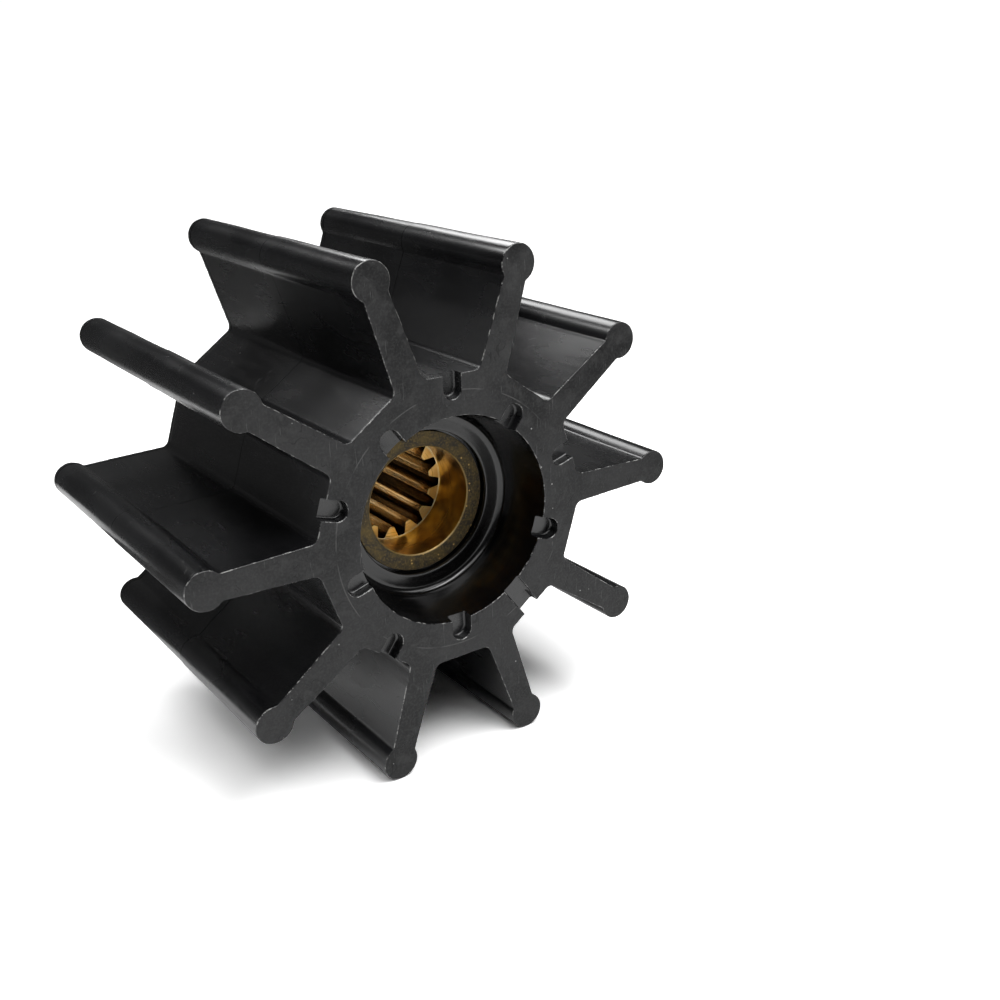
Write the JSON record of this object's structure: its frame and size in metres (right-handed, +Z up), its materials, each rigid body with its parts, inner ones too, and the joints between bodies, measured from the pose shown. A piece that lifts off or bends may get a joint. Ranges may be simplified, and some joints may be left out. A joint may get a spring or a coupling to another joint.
{
  "type": "rubber pump impeller",
  "caption": "Flexible rubber pump impeller: straight bead-tipped vanes on a notched hub, moulded round a splined bronze bush with a plain pilot bore, lying on its side.",
  "frame": {"origin": "on the shaft axis at half the impeller's length", "axes": "+Y along the shaft axis towards the plain back end, so the recessed front end faces -Y; +Z up as it lies on two neighbouring vanes"},
  "size_m": [0.0952, 0.0636, 0.0908],
  "materials": {
    "rubber": "satin moulded neoprene, matt on the trimmed end faces",
    "bronze": "machined bronze, dull and stained on its end face"
  },
  "bodies": {
    "root": {"rubber_body": "rubber", "splined_bush": "bronze"}
  },
  "joints": []
}
